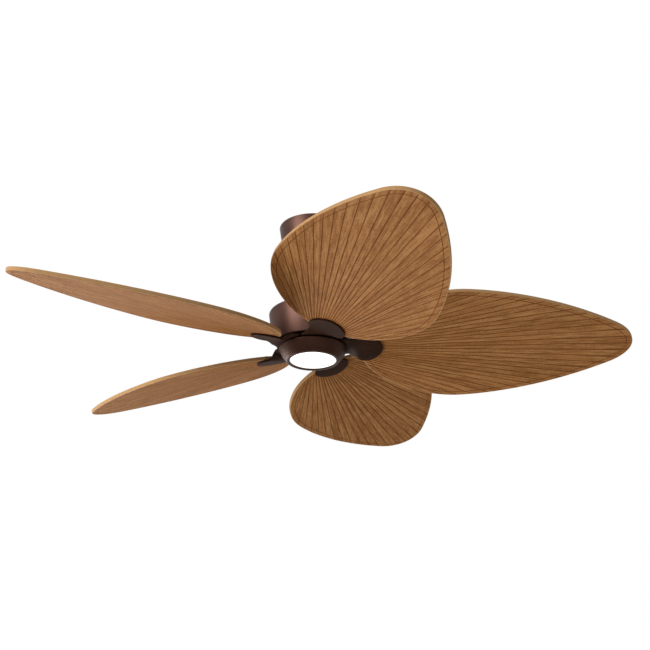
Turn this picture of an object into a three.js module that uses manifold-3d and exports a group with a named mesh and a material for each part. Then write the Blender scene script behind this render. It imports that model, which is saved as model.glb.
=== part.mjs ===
// Ceiling fan with five palm-leaf blades and a round light, hung from a ball and downrod.
// Millimetres, +Z up. The origin is on the ceiling, on the fan's axis, and the fan hangs below it.
import * as THREE from 'three';
import { mergeVertices } from 'three/addons/utils/BufferGeometryUtils.js';
import Module from 'manifold-3d';

const wasm = await Module();
wasm.setup();

// Fits
const SEAT = 0.3;            // gap between a piece and its seat on turned or cut surfaces
const HOLE_CLEARANCE = 0.3;  // radial gap between a pin, shaft or screw and its hole
const RUNNING_GAP = 1;       // radial gap between the stator and the magnets
const BALL_GAP = 0.4;        // gap between the ball, its liner and the cradle

// Canopy, against the ceiling
const CANOPY_RADIUS = 73.7;
const CANOPY_HEIGHT = 66;
const CANOPY_TAPER = 8.5;    // degrees that the side leans in from upright
const CANOPY_CORNER = 10;
const CANOPY_WALL = 1.5;
const CANOPY_HOLE = 24;      // leaves room for the rod when the fan swings

// Hanger bracket, inside the canopy
const BRACKET_WALL = 2.5;
const BRACKET_WIDTH = 44;
const TAB_WIDTH = 20;
const TAB_HEIGHT = 22;
const TAB_CLEARANCE = 1;     // between a tab and the canopy's inner wall
const CRADLE_LEG = 3;
const CRADLE_LEG_WIDTH = 30;
const CRADLE_RIM = 5.7;      // wall outside the cradle's hollow
const SLOT_RADIUS = 3;
const SLOT_LENGTH = 18;      // between the centres of its two round ends
const SLOT_MARGIN = 3;       // between a slot and the cradle's leg

// Ball joint
const BALL_RADIUS = 22;
const BALL_DROP = 46;        // ceiling to the ball's centre
const BALL_FLAT = 15;        // centre to the flat top
const BALL_PIN_RADIUS = 3;
const BALL_PIN_INSET = 3;    // pin end to the ball's surface
const LINER_WALL = 2.2;
const LINER_ANGLES = [47, 80];   // degrees up from straight down
const CRADLE_ANGLES = [50, 84];

// Receiver, between the bracket's plate and the ball
const RECEIVER_SIZE = [86, 40, 18];
const RECEIVER_CORNER = 4;

// Downrod, yoke and the dome over them
const ROD_RADIUS = 10.7;
const ROD_WALL = 2.7;
const ROD_LENGTH = 157;
const YOKE_WALL = 5.5;
const YOKE_GRIP = 16;        // length of rod inside the yoke
const YOKE_NECK = 23;        // rod end to the underside of the yoke's flange
const YOKE_FLANGE_RADIUS = 32;
const YOKE_FLANGE = 5;
const YOKE_PIN_RADIUS = 3;
const YOKE_PIN_OVERHANG = 3;
const DOME_RADIUS = 36;
const DOME_HEIGHT = 40;
const DOME_BULGE = 6;
const DOME_WALL = 1.5;
const DOME_NECK = 4;         // flat ring round the rod

// Motor cover
const COVER_TOP_RADIUS = 93;
const COVER_BOTTOM_RADIUS = 78;
const COVER_BULGE = 4;
const COVER_CORNER = 2.5;
const COVER_WALL = 1.5;
const COVER_LIFT = 3;        // underside of the rotor to the cover's lower rim

// Motor
const SHAFT_RADIUS = 8;
const SHAFT_BORE = 3.5;
const SHAFT_THREAD_RADIUS = 6;
const SHAFT_TAIL = 2;        // thread below the nut
const ROTOR_GAP = 14.5;      // yoke flange to the rotor
const ROTOR_HEIGHT = 50.5;
const ROTOR_CLEARANCE = 10.5;    // rotor to the cover's lower rim
const ROTOR_WALL = 3.5;
const ROTOR_FLOOR = 6;
const HUB_WALL = 3.7;
const BEARING_RADIUS = 16;
const BEARING_HEIGHT = 9;
const BEARING_INSET = 0.5;
const MAGNET_THICKNESS = 3.7;
const MAGNET_HEIGHT = 24;
const STATOR_HEIGHT = 20;
const STATOR_HUB = 28;
const STATOR_TEETH = 12;
const TOOTH_TIP = 4;
const TOOTH_TIP_SHARE = 0.82;    // of the space that each tooth has round the rim
const TOOTH_STEM_SHARE = 0.34;

// Blades
const BLADE_COUNT = 5;
const SPAN_RADIUS = 660;
const BLADE_ROOT = 96.6;
const BLADE_PITCH = 17.9;    // degrees
const BLADE_THICKNESS = 7.5;
const BLADE_HALF_WIDTH = 164.4;
const WIDEST_FROM_ROOT = 206;
const ROOT_PULLS = [93.3, 95];   // pulls of the curve from the root to the widest place
const FLANK_PULLS = [13.6, 189.5];
const TIP_PULLS = [39.7, 13.4];
const SHOULDER_FROM_TIP = 39.7;
const SHOULDER_HALF_WIDTH = 59.1;
const SHOULDER_SLOPE = 32.1;     // degrees

// Blade irons
const IRON_THICKNESS = 4;
const IRON_DROP = 5;         // top of the iron's flange to the blade's underside, on the axis of the blade
const STRAP_HALF_WIDTH = 13;
const STRAP_INNER = 34;
const NECK_LAP = 9;          // of the neck under the rotor's edge
const NECK_SPARE = 1.2;      // neck's inner corners to the line halfway to the next iron
const TWIST_LENGTH = 26;
const PAD_LEAD = 7;          // the pad starts this far before the twist's end
const PAD_REAR_HALF_WIDTH = 31;
const PAD_HALF_WIDTH = 38.5;
const PAD_WIDEST_FROM_REAR = 17;
const PAD_LENGTH = 55.5;
const PAD_REAR_PULLS = [[4, 1], [9, 0]];
const PAD_TIP_PULLS = [22, 16];

// Fasteners
const SCREW_RADIUS = 2.4;
const SCREW_HEAD_RADIUS = 4.5;
const SCREW_HEAD_HEIGHT = 2.6;
const SCREW_BITE = 3;        // depth of a screw in the pad or the rotor
const HOLE_SPARE = 0.4;      // depth left under a screw's end
const BLADE_SCREW_PLACES = [[0.39, 20], [0.39, -20], [0.8, 0]];  // share of the pad's length, offset
const IRON_SCREW_RADII = [43, 57];
const CANOPY_SCREW_DROP = 12;
const CANOPY_SCREW_BITE = 5;

// Light
const LIGHT_GAP = 5;         // underside of the irons to the light's plate
const LIGHT_PLATE = 1.5;
const PAN_TOP_RADIUS = 71;
const PAN_BOTTOM_RADIUS = 54.5;
const PAN_HEIGHT = 25.9;
const PAN_BULGE = 3.1;
const PAN_WALL = 1.5;
const PAN_RISE = 1;          // pan's rim above the light's plate
const LEDGE_WIDTH = 8.5;
const LEDGE_OVERLAP = 6;     // of the light's plate over the pan's ledge
const BEZEL_HEIGHT = 6.6;
const BEZEL_LIP = 2.8;
const LENS_OPENING = 48.55;
const LENS_OVERLAP = 2.6;
const LENS_THICKNESS = 3;
const NUT_FLATS = 19;
const NUT_HEIGHT = 5.5;
const BOARD_INNER = 18;
const BOARD_MARGIN = 4;      // board's edge to the pan's ledge
const BOARD_THICKNESS = 1.6;

// Fineness of the round surfaces
const ROUND_STEPS = 32;
const SMALL_STEPS = 24;
const SCREW_STEPS = 8;
const CURVE_STEPS = 4;
const BLADE_STEPS = 7;
const NECK_STEPS = [8, 4];   // along the neck and across it
const WELD = 1e-4;

const { degToRad } = THREE.MathUtils;
const slope = (angle) => Math.tan(degToRad(angle));

// Heights, from the ceiling down
const rodTop = BALL_FLAT - BALL_DROP;
const rodEnd = rodTop - ROD_LENGTH;
const yokeTop = rodEnd + YOKE_GRIP;
const flangeUnderside = rodEnd - YOKE_NECK;
const flangeTop = flangeUnderside + YOKE_FLANGE;
const coverTop = flangeTop + COVER_WALL;
const rotorTop = flangeUnderside - ROTOR_GAP;
const rotorUnderside = rotorTop - ROTOR_HEIGHT;
const coverRim = rotorUnderside + COVER_LIFT;
const ironUnderside = rotorUnderside - IRON_THICKNESS;
const bladePlane = rotorUnderside - IRON_DROP;
const lightPlateTop = ironUnderside - LIGHT_GAP;
const lightPlateUnderside = lightPlateTop - LIGHT_PLATE;
const panTop = lightPlateTop + PAN_RISE;
const panEnd = panTop - PAN_HEIGHT;
const bezelTop = panEnd + BEZEL_HEIGHT;

// Radii that follow from their neighbours
const rotorRadius = COVER_BOTTOM_RADIUS - COVER_WALL - ROTOR_CLEARANCE;
const magnetOuter = rotorRadius - ROTOR_WALL - HOLE_CLEARANCE;
const magnetInner = magnetOuter - MAGNET_THICKNESS;
const statorRadius = magnetInner - RUNNING_GAP;
const bearingBore = BEARING_RADIUS + HOLE_CLEARANCE;
const shaftBore = SHAFT_RADIUS + HOLE_CLEARANCE;
const rodBore = ROD_RADIUS + HOLE_CLEARANCE;
const yokeRadius = rodBore + YOKE_WALL;
const linerInner = BALL_RADIUS + BALL_GAP;
const linerOuter = linerInner + LINER_WALL;
const cradleInner = linerOuter + BALL_GAP;
const screwHole = SCREW_RADIUS + HOLE_CLEARANCE;

// Radius of a bulged side, at the share t of the way down it
const bulged = (top, bottom, bulge, t) => top + (bottom - top) * t + 2 * t * (1 - t) * bulge;
const canopyRadiusAt = (drop) => CANOPY_RADIUS - drop * slope(CANOPY_TAPER);
const panRadiusAt = (height) =>
  bulged(PAN_TOP_RADIUS, PAN_BOTTOM_RADIUS, PAN_BULGE, (panTop - height) / PAN_HEIGHT);

const ledgeInner = panRadiusAt(lightPlateUnderside) - PAN_WALL - LEDGE_WIDTH;
const lightPlateRadius = ledgeInner + LEDGE_OVERLAP;

// ---- Geometry helpers ----

// Joins the shared vertices and leaves out the triangles that have no area
function weld(geometry) {
  const bare = geometry.clone();
  bare.deleteAttribute('normal');
  bare.deleteAttribute('uv');
  const welded = mergeVertices(bare, WELD);
  const corners = welded.index.array;
  const kept = [];
  for (let i = 0; i < corners.length; i += 3) {
    const [a, b, c] = corners.slice(i, i + 3);
    if (a !== b && b !== c && c !== a) kept.push(a, b, c);
  }
  welded.setIndex(kept);
  return welded;
}

function solid(geometry) {
  const welded = weld(geometry);
  return new wasm.Manifold(new wasm.Mesh({
    numProp: 3,
    vertProperties: new Float32Array(welded.attributes.position.array),
    triVerts: new Uint32Array(welded.index.array),
  }));
}

function geometryOf(manifold) {
  const mesh = manifold.getMesh();
  const geometry = new THREE.BufferGeometry();
  geometry.setAttribute('position', new THREE.BufferAttribute(mesh.vertProperties, 3));
  geometry.setIndex(new THREE.BufferAttribute(mesh.triVerts, 1));
  return geometry;
}

const join = (first, ...others) =>
  geometryOf(others.reduce((whole, other) => whole.add(solid(other)), solid(first)));
const cut = (body, tools) =>
  geometryOf(tools.reduce((rest, tool) => rest.subtract(solid(tool)), solid(body)));

// Turns a closed outline of [radius, height] points about the Z axis
function turned(outline, steps = ROUND_STEPS) {
  const points = outline.map(([radius, height]) => new THREE.Vector2(radius, height));
  if (THREE.ShapeUtils.isClockWise(points)) points.reverse();
  points.push(points[0].clone());
  return weld(new THREE.LatheGeometry(points, steps).rotateX(Math.PI / 2));
}

const ring = (inner, outer, low, high, steps = ROUND_STEPS) =>
  turned([[inner, low], [outer, low], [outer, high], [inner, high]], steps);

// Cylinder along Z, from one height to another
const bar = (radius, low, high, steps = SCREW_STEPS) =>
  new THREE.CylinderGeometry(radius, radius, high - low, steps)
    .rotateX(Math.PI / 2)
    .translate(0, 0, (low + high) / 2);

const box = ([width, depth, height], [x, y, z]) =>
  new THREE.BoxGeometry(width, depth, height).translate(x, y, z);

// Plate of an outline in the XY plane, from one height to another
const plate = (shape, low, high, curveSegments = CURVE_STEPS) =>
  new THREE.ExtrudeGeometry(shape, { depth: high - low, bevelEnabled: false, curveSegments })
    .translate(0, 0, low);

// Points of an arc about [x, y], from one angle to another in degrees
function arc([x, y], radius, from, to, steps = CURVE_STEPS) {
  return Array.from({ length: steps + 1 }, (_, i) => {
    const angle = degToRad(from + (to - from) * i / steps);
    return [x + radius * Math.cos(angle), y + radius * Math.sin(angle)];
  });
}

// Shape that is the same on both sides of the X axis, from the curves of its +Y side
function mirroredShape(curves, steps) {
  const side = curves.flatMap((curve) => curve.getPoints(steps));
  const other = side.map(({ x, y }) => new THREE.Vector2(x, -y)).reverse();
  return new THREE.Shape([...side, ...other].filter((point, i, all) =>
    i === 0 || point.distanceTo(all[i - 1]) > WELD));
}

const bezier = (...points) =>
  new THREE.CubicBezierCurve(...points.map(([x, y]) => new THREE.Vector2(x, y)));

// Screw whose head stands on the XY plane and whose shank goes down
function screwGeometry(shankLength) {
  return turned([
    [0, -shankLength], [SCREW_RADIUS, -shankLength], [SCREW_RADIUS, 0], [SCREW_HEAD_RADIUS, 0],
    [SCREW_HEAD_RADIUS, SCREW_HEAD_HEIGHT], [0, SCREW_HEAD_HEIGHT],
  ], SCREW_STEPS);
}

// ---- Finishes ----

const finish = (color, roughness, metalness) =>
  new THREE.MeshStandardMaterial({ color, roughness, metalness });
const bronze = finish(0x4a332c, 0.42, 0.55);
const darkBronze = finish(0x2c2321, 0.5, 0.5);
const leaf = finish(0x8a5a32, 0.62, 0);
const steel = finish(0xb9bcc0, 0.35, 0.9);
const magnetBlack = finish(0x2a2b2e, 0.6, 0.2);
const nylon = finish(0xe6e3da, 0.55, 0);
const blackPlastic = finish(0x1c1c1e, 0.5, 0);
const diffuser = finish(0xffffff, 0.35, 0);
const boardWhite = finish(0xf0f0ec, 0.5, 0.1);

const fan = new THREE.Group();

function add(name, geometry, material, parent = fan) {
  const mesh = new THREE.Mesh(geometry, material);
  mesh.name = name;
  parent.add(mesh);
  return mesh;
}

// ---- Ceiling mount: bracket, canopy, its screws and the receiver ----

const tabOuter = Math.sqrt(
  (canopyRadiusAt(TAB_HEIGHT) - CANOPY_WALL - TAB_CLEARANCE) ** 2 - (TAB_WIDTH / 2) ** 2);

// Hollow that holds the ball's liner, turned about the vertical through the ball
function cradle() {
  const [low, high] = CRADLE_ANGLES.map((angle) => angle - 90);
  const hollow = arc([0, 0], cradleInner, low, high);
  const outer = cradleInner + CRADLE_RIM;
  return turned([...hollow, [outer, hollow.at(-1)[1]], [outer, hollow[0][1]]], SMALL_STEPS)
    .translate(0, 0, -BALL_DROP);
}

// Slot for a ceiling screw, long along Y
function slotCutter(y) {
  const shape = new THREE.Shape();
  shape.absarc(0, SLOT_LENGTH / 2, SLOT_RADIUS, 0, Math.PI);
  shape.absarc(0, -SLOT_LENGTH / 2, SLOT_RADIUS, Math.PI, 2 * Math.PI);
  return plate(shape, -2 * BRACKET_WALL, BRACKET_WALL).translate(0, y, 0);
}

// Screw hole along Y through both tabs or both sides of the canopy
const sideHole = () =>
  bar(screwHole, -CANOPY_RADIUS, CANOPY_RADIUS)
    .rotateX(Math.PI / 2)
    .translate(0, 0, -CANOPY_SCREW_DROP);

function hangerBracket() {
  const half = BRACKET_WALL / 2;
  const cradleLow = -BALL_DROP - cradleInner * Math.cos(degToRad(CRADLE_ANGLES[0]));
  const legY = cradleInner + CRADLE_RIM - CRADLE_LEG / 2;
  const legHeight = -half - cradleLow - SEAT;
  const slotMiddle = legY + CRADLE_LEG / 2 + SLOT_MARGIN + SLOT_RADIUS + SLOT_LENGTH / 2;
  const pieces = [1, -1].flatMap((side) => [
    box([TAB_WIDTH, BRACKET_WALL, TAB_HEIGHT - half],
      [0, side * (tabOuter - SEAT - half), -half - (TAB_HEIGHT - half) / 2]),
    box([CRADLE_LEG_WIDTH, CRADLE_LEG, legHeight], [0, side * legY, -half - legHeight / 2]),
  ]);
  const top = box([BRACKET_WIDTH, 2 * tabOuter, BRACKET_WALL], [0, 0, -half]);
  return cut(join(top, cradle(), ...pieces), [
    slotCutter(slotMiddle), slotCutter(-slotMiddle), sideHole(),
  ]);
}

function canopy() {
  const cornerDrop = CANOPY_HEIGHT - CANOPY_CORNER;
  const innerCorner = CANOPY_CORNER - CANOPY_WALL;
  const centre = [canopyRadiusAt(cornerDrop) - CANOPY_CORNER, -cornerDrop];
  const outside = [
    [CANOPY_RADIUS, 0], ...arc(centre, CANOPY_CORNER, -CANOPY_TAPER, -90), [CANOPY_HOLE, -CANOPY_HEIGHT],
  ];
  const inside = [
    [CANOPY_HOLE, CANOPY_WALL - CANOPY_HEIGHT], ...arc(centre, innerCorner, -90, -CANOPY_TAPER),
    [CANOPY_RADIUS - CANOPY_WALL, 0],
  ];
  return cut(turned([...outside, ...inside]), [sideHole()]);
}

function receiverBox() {
  const [length, width, height] = RECEIVER_SIZE;
  const [x, y] = [length / 2 - RECEIVER_CORNER, width / 2 - RECEIVER_CORNER];
  const corners = [[x, y, 0], [-x, y, 90], [-x, -y, 180], [x, -y, 270]];
  const outline = corners.flatMap(([cx, cy, from]) => arc([cx, cy], RECEIVER_CORNER, from, from + 90, 2));
  const shape = new THREE.Shape(outline.map(([px, py]) => new THREE.Vector2(px, py)));
  return plate(shape, -BRACKET_WALL - height, -BRACKET_WALL);
}

add('hanger_bracket', hangerBracket(), steel);
add('canopy', canopy(), bronze);
add('receiver_box', receiverBox(), blackPlastic);

const canopyHeadSeat = canopyRadiusAt(CANOPY_SCREW_DROP - SCREW_HEAD_RADIUS) + SEAT;
for (const [i, side] of [1, -1].entries()) {
  const shank = canopyHeadSeat - tabOuter + SEAT + BRACKET_WALL + CANOPY_SCREW_BITE;
  const screw = add(`canopy_screw_${i + 1}`, screwGeometry(shank), darkBronze);
  screw.position.set(0, side * canopyHeadSeat, -CANOPY_SCREW_DROP);
  screw.rotation.x = -side * Math.PI / 2;
}

// ---- Ball joint ----

const ballJoint = new THREE.Group();
ballJoint.position.z = -BALL_DROP;
fan.add(ballJoint);

// Pin hole along X through the middle of a piece
const crossHole = (radius, length) => bar(radius, -length, length).rotateY(Math.PI / 2);

function ballSeat() {
  const [low, high] = LINER_ANGLES.map((angle) => angle - 90);
  return turned([...arc([0, 0], linerInner, low, high), ...arc([0, 0], linerOuter, high, low)],
    SMALL_STEPS);
}

function hangerBall() {
  const top = THREE.MathUtils.radToDeg(Math.asin(BALL_FLAT / BALL_RADIUS));
  const bottom = -THREE.MathUtils.radToDeg(Math.acos((rodBore + HUB_WALL / 2) / BALL_RADIUS));
  const face = arc([0, 0], BALL_RADIUS, bottom, top, CURVE_STEPS + 2);
  const ball = turned([...face, [rodBore, BALL_FLAT], [rodBore, face[0][1]]], SMALL_STEPS);
  return cut(ball, [crossHole(BALL_PIN_RADIUS + HOLE_CLEARANCE, BALL_RADIUS)]);
}

add('ball_seat', ballSeat(), nylon, ballJoint);
add('hanger_ball', hangerBall(), nylon, ballJoint);
const ballPinHalf = BALL_RADIUS - BALL_PIN_INSET;
add('ball_pin', bar(BALL_PIN_RADIUS, -ballPinHalf, ballPinHalf).rotateY(Math.PI / 2), steel, ballJoint);

// ---- Downrod, yoke and dome ----

const yokePinHeight = rodEnd + YOKE_GRIP / 2;
const yokePinHole = (length) =>
  crossHole(YOKE_PIN_RADIUS + HOLE_CLEARANCE, length).translate(0, 0, yokePinHeight);

function downrod() {
  const tube = ring(ROD_RADIUS - ROD_WALL, ROD_RADIUS, rodEnd, rodTop, SMALL_STEPS);
  const ballPinHole = crossHole(BALL_PIN_RADIUS + HOLE_CLEARANCE, ROD_RADIUS * 2)
    .translate(0, 0, -BALL_DROP);
  return cut(tube, [ballPinHole, yokePinHole(ROD_RADIUS * 2)]);
}

function yoke() {
  const step = rodEnd - SEAT;
  const body = turned([
    [shaftBore, flangeUnderside], [YOKE_FLANGE_RADIUS, flangeUnderside], [YOKE_FLANGE_RADIUS, flangeTop],
    [yokeRadius, flangeTop], [yokeRadius, yokeTop], [rodBore, yokeTop], [rodBore, step], [shaftBore, step],
  ], SMALL_STEPS);
  return cut(body, [yokePinHole(yokeRadius * 2)]);
}

function couplingCover() {
  const topRadius = rodBore + DOME_NECK;
  const side = [0, 0.25, 0.5, 0.75, 1].map((t) =>
    [bulged(topRadius, DOME_RADIUS, DOME_BULGE, t), coverTop + DOME_HEIGHT * (1 - t)]);
  const hollow = side.map(([radius, height]) => [radius - DOME_WALL, height]).slice(1).reverse();
  const roof = coverTop + DOME_HEIGHT;
  return turned([...side, ...hollow,
    [topRadius - DOME_WALL, roof - DOME_WALL], [rodBore, roof - DOME_WALL], [rodBore, roof]],
  SMALL_STEPS);
}

const yokePinHalf = yokeRadius + YOKE_PIN_OVERHANG;
add('downrod', downrod(), darkBronze);
add('yoke', yoke(), steel);
add('yoke_pin', bar(YOKE_PIN_RADIUS, -yokePinHalf, yokePinHalf).rotateY(Math.PI / 2), steel)
  .position.z = yokePinHeight;
add('coupling_cover', couplingCover(), bronze);

// ---- Motor ----

const bladeAngles = Array.from({ length: BLADE_COUNT }, (_, i) => 2 * Math.PI * i / BLADE_COUNT);
const motorMiddle = (rotorTop - ROTOR_WALL + rotorUnderside + ROTOR_FLOOR) / 2;

function motorCover() {
  const shoulder = coverTop - COVER_CORNER;
  const drops = [0.2, 0.45, 0.7, 1];
  const side = drops.map((t) => [bulged(COVER_TOP_RADIUS, COVER_BOTTOM_RADIUS, COVER_BULGE, t),
    shoulder + (coverRim - shoulder) * t]);
  const corner = arc([COVER_TOP_RADIUS - COVER_CORNER, shoulder], COVER_CORNER, 90, 0, 3);
  const hole = yokeRadius + HOLE_CLEARANCE;
  const inside = side.map(([radius, height]) => [radius - COVER_WALL, height]).reverse();
  return turned([[hole, coverTop], ...corner, ...side, ...inside,
    [COVER_TOP_RADIUS - COVER_WALL, shoulder], [COVER_TOP_RADIUS - COVER_CORNER, flangeTop],
    [hole, flangeTop]]);
}

function motorShaft() {
  const top = rodEnd - 2 * SEAT;
  const end = lightPlateUnderside - NUT_HEIGHT - SHAFT_TAIL;
  return turned([
    [SHAFT_BORE, top], [SHAFT_RADIUS, top], [SHAFT_RADIUS, lightPlateTop],
    [SHAFT_THREAD_RADIUS, lightPlateTop], [SHAFT_THREAD_RADIUS, end], [SHAFT_BORE, end],
  ], SMALL_STEPS);
}

function rotorShell() {
  const inner = rotorRadius - ROTOR_WALL;
  const hub = bearingBore + HUB_WALL;
  const depth = BEARING_HEIGHT + BEARING_INSET;
  const shell = turned([
    [bearingBore, rotorTop], [rotorRadius, rotorTop], [rotorRadius, rotorUnderside],
    [bearingBore, rotorUnderside], [bearingBore, rotorUnderside + depth], [hub, rotorUnderside + depth],
    [hub, rotorUnderside + ROTOR_FLOOR], [inner, rotorUnderside + ROTOR_FLOOR],
    [inner, rotorTop - ROTOR_WALL], [hub, rotorTop - ROTOR_WALL], [hub, rotorTop - depth],
    [bearingBore, rotorTop - depth],
  ]);
  const holes = bladeAngles.flatMap((angle) => IRON_SCREW_RADII.map((radius) =>
    bar(screwHole, rotorUnderside - SEAT, rotorUnderside + SCREW_BITE + HOLE_SPARE)
      .translate(radius, 0, 0)
      .rotateZ(angle)));
  return cut(shell, holes);
}

function statorCore() {
  const space = 360 / STATOR_TEETH;
  const root = statorRadius - TOOTH_TIP;
  const outline = Array.from({ length: STATOR_TEETH }, (_, i) => {
    const stem = space * TOOTH_STEM_SHARE / 2;
    const tip = space * TOOTH_TIP_SHARE / 2;
    const places = [[STATOR_HUB, -stem], [root, -stem], [root, -tip], [statorRadius, -tip],
      [statorRadius, tip], [root, tip], [root, stem], [STATOR_HUB, stem]];
    return places.map(([radius, angle]) => {
      const turn = degToRad(i * space + angle);
      return new THREE.Vector2(radius * Math.cos(turn), radius * Math.sin(turn));
    });
  });
  const core = plate(new THREE.Shape(outline.flat()), -STATOR_HEIGHT / 2, STATOR_HEIGHT / 2);
  return cut(core, [bar(shaftBore, -STATOR_HEIGHT, STATOR_HEIGHT, SMALL_STEPS)]);
}

const bearing = () =>
  ring(shaftBore, BEARING_RADIUS, -BEARING_HEIGHT / 2, BEARING_HEIGHT / 2, SMALL_STEPS);

add('motor_cover', motorCover(), bronze);
add('motor_shaft', motorShaft(), steel);
add('stator_core', statorCore(), steel).position.z = motorMiddle;
add('rotor_shell', rotorShell(), darkBronze);
add('magnet_ring', ring(magnetInner, magnetOuter, -MAGNET_HEIGHT / 2, MAGNET_HEIGHT / 2), magnetBlack)
  .position.z = motorMiddle;
add('upper_bearing', bearing(), steel).position.z = rotorTop - BEARING_INSET - BEARING_HEIGHT / 2;
add('lower_bearing', bearing(), steel).position.z = rotorUnderside + BEARING_INSET + BEARING_HEIGHT / 2;

// ---- Blade irons, blades and their screws ----

const twistStart = PAN_TOP_RADIUS;
const twistEnd = twistStart + TWIST_LENGTH;
const padRear = twistEnd - PAD_LEAD;
const padTop = -SEAT;
const neckInner = rotorRadius - NECK_LAP;
const neckOuter = twistEnd + IRON_THICKNESS;
const neckInnerHalf = neckInner * Math.tan(Math.PI / BLADE_COUNT) - NECK_SPARE;
const pitch = degToRad(BLADE_PITCH);

function padShape() {
  const [[rearX, rearY], [wideX]] = PAD_REAR_PULLS;
  const [tipX, tipY] = PAD_TIP_PULLS;
  const widest = padRear + PAD_WIDEST_FROM_REAR;
  const tip = padRear + PAD_LENGTH;
  return mirroredShape([
    bezier([padRear, PAD_REAR_HALF_WIDTH], [padRear + rearX, PAD_REAR_HALF_WIDTH + rearY],
      [widest - wideX, PAD_HALF_WIDTH], [widest, PAD_HALF_WIDTH]),
    bezier([widest, PAD_HALF_WIDTH], [widest + tipX, PAD_HALF_WIDTH], [tip, tipY], [tip, 0]),
  ], CURVE_STEPS + 1);
}

// Flat strap that is screwed to the rotor
function strap() {
  const length = neckInner + NECK_LAP / 2 - STRAP_INNER;
  return new THREE.BoxGeometry(length, 2 * STRAP_HALF_WIDTH, IRON_THICKNESS)
    .translate(STRAP_INNER + length / 2, 0, -IRON_THICKNESS / 2);
}

// Broad neck that turns to the blade's pitch once it is clear of the light's pan
function twistedNeck() {
  const length = neckOuter - neckInner;
  const neck = new THREE.BoxGeometry(length, 2, IRON_THICKNESS, ...NECK_STEPS, 1)
    .translate(neckInner + length / 2, 0, -IRON_THICKNESS / 2);
  const place = neck.attributes.position;
  for (let i = 0; i < place.count; i += 1) {
    const [u, side, depth] = [place.getX(i), place.getY(i), place.getZ(i)];
    const share = (u - neckInner) / (padRear - neckInner);
    const v = side * THREE.MathUtils.lerp(neckInnerHalf, PAD_REAR_HALF_WIDTH, share);
    const t = THREE.MathUtils.smoothstep(u, twistStart, twistEnd);
    const turn = pitch * t;
    const middle = -IRON_THICKNESS / 2;
    const w = middle + (depth - middle) * (1 - 0.2 * t) + padTop * t;
    place.setXYZ(i, u, v * Math.cos(turn) + w * Math.sin(turn),
      w * Math.cos(turn) - v * Math.sin(turn) - IRON_DROP * t);
  }
  return neck;
}

const pitched = (geometry) => geometry.rotateX(-pitch).translate(0, 0, -IRON_DROP);
const bladeScrewPlaces = BLADE_SCREW_PLACES.map(([share, offset]) =>
  [padRear + PAD_LENGTH * share, offset]);

function bladeIron() {
  const pad = pitched(plate(padShape(), padTop - IRON_THICKNESS, padTop));
  const padHoles = bladeScrewPlaces.map(([x, y]) =>
    pitched(bar(screwHole, padTop - SCREW_BITE - HOLE_SPARE, 1).translate(x, y, 0)));
  const strapHoles = IRON_SCREW_RADII.map((radius) =>
    bar(screwHole, -2 * IRON_THICKNESS, IRON_THICKNESS).translate(radius, 0, 0));
  return cut(join(strap(), twistedNeck(), pad), [...padHoles, ...strapHoles]);
}

function bladeGeometry() {
  const widest = BLADE_ROOT + WIDEST_FROM_ROOT;
  const shoulder = [SPAN_RADIUS - SHOULDER_FROM_TIP, SHOULDER_HALF_WIDTH];
  const along = (distance) => [
    shoulder[0] + distance * Math.cos(degToRad(SHOULDER_SLOPE)),
    shoulder[1] - distance * Math.sin(degToRad(SHOULDER_SLOPE)),
  ];
  const outline = mirroredShape([
    bezier([BLADE_ROOT, 0], [BLADE_ROOT, ROOT_PULLS[0]],
      [widest - ROOT_PULLS[1], BLADE_HALF_WIDTH], [widest, BLADE_HALF_WIDTH]),
    bezier([widest, BLADE_HALF_WIDTH], [widest + FLANK_PULLS[0], BLADE_HALF_WIDTH],
      along(-FLANK_PULLS[1]), shoulder),
    bezier(shoulder, along(TIP_PULLS[0]), [SPAN_RADIUS, TIP_PULLS[1]], [SPAN_RADIUS, 0]),
  ], BLADE_STEPS);
  const holes = bladeScrewPlaces.map(([x, y]) =>
    bar(screwHole, -BLADE_THICKNESS, 2 * BLADE_THICKNESS).translate(x, y, 0));
  return cut(plate(outline, 0, BLADE_THICKNESS), holes);
}

const bladeHeadSeat = BLADE_THICKNESS + SEAT;
for (const [i, angle] of bladeAngles.entries()) {
  const number = i + 1;
  const spoke = new THREE.Group();
  spoke.position.z = rotorUnderside;
  spoke.rotation.z = angle;
  fan.add(spoke);
  add(`blade_iron_${number}`, bladeIron(), darkBronze, spoke);
  for (const [j, radius] of IRON_SCREW_RADII.entries()) {
    const shank = SEAT + IRON_THICKNESS + SCREW_BITE;
    const screw = add(`iron_screw_${number}_${j + 1}`, screwGeometry(shank), darkBronze, spoke);
    screw.position.set(radius, 0, -IRON_THICKNESS - SEAT);
    screw.rotation.x = Math.PI;
  }

  const tilted = new THREE.Group();
  tilted.position.z = bladePlane - rotorUnderside;
  tilted.rotation.x = -pitch;
  spoke.add(tilted);
  add(`blade_${number}`, bladeGeometry(), leaf, tilted);
  for (const [j, [x, y]] of bladeScrewPlaces.entries()) {
    const shank = bladeHeadSeat - padTop + SCREW_BITE;
    const screw = add(`blade_screw_${number}_${j + 1}`, screwGeometry(shank), darkBronze, tilted);
    screw.position.set(x, y, bladeHeadSeat);
  }
}

// ---- Light ----

const threadBore = SHAFT_THREAD_RADIUS + HOLE_CLEARANCE;

function lightHousing() {
  const ledgeUnderside = lightPlateUnderside - PAN_WALL;
  const heights = [panTop, lightPlateUnderside, ledgeUnderside,
    (ledgeUnderside + bezelTop) / 2, bezelTop];
  const outside = heights.map((height) => [panRadiusAt(height), height]);
  const inside = heights.map((height) => [panRadiusAt(height) - PAN_WALL, height]);
  return turned([...outside, inside[4], inside[3], inside[2],
    [ledgeInner, ledgeUnderside], [ledgeInner, lightPlateUnderside], inside[1], inside[0]]);
}

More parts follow.
